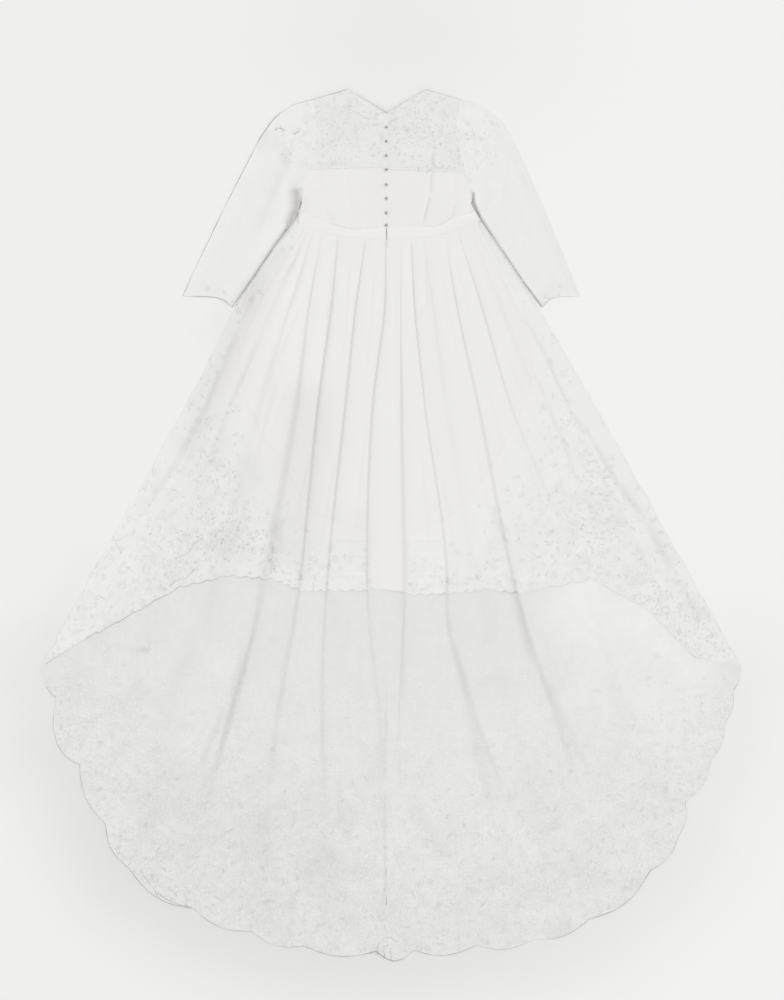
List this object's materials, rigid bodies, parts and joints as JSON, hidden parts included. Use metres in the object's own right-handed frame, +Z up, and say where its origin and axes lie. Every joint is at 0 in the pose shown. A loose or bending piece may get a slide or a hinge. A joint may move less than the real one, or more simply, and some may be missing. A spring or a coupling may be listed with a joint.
{
  "type": "lace gown",
  "caption": "Long-sleeved lace wedding gown laid flat with its back up: V neck, buttoned bodice, waistband, pleated satin skirt, and a tulle train with a scalloped lace border.",
  "frame": {"origin": "middle of the gown's outline, on the surface that it lies on", "axes": "+Y towards the neck, along the gown's length; +Z up, out of the gown's back; +X to the right as seen from above"},
  "size_m": [1.8856, 2.3508, 0.0217],
  "materials": {
    "satin": "ivory satin with a soft sheen",
    "lace": "matte white lace on fine net",
    "tulle": "sheer matte white tulle"
  },
  "bodies": {
    "root": {"front_bodice": "satin", "front_waistband": "satin", "front_skirt": "satin", "sleeve_left": "lace", "sleeve_right": "lace", "underbodice_left": "satin", "underbodice_right": "satin", "lace_back_left": "lace", "lace_back_right": "lace", "neckband_left": "lace", "neckband_right": "lace", "placket": "satin", "button_1": "satin", "button_2": "satin", "button_3": "satin", "button_4": "satin", "button_5": "satin", "button_6": "satin", "button_7": "satin", "button_8": "satin", "waistband_left": "satin", "waistband_right": "satin", "skirt_left": "satin", "centre_panel": "satin", "skirt_right": "satin", "overlay_left": "lace", "overlay_right": "lace", "hem_lace_left": "lace", "hem_lace_right": "lace", "train_tulle": "tulle", "train_border": "lace"}
  },
  "joints": []
}
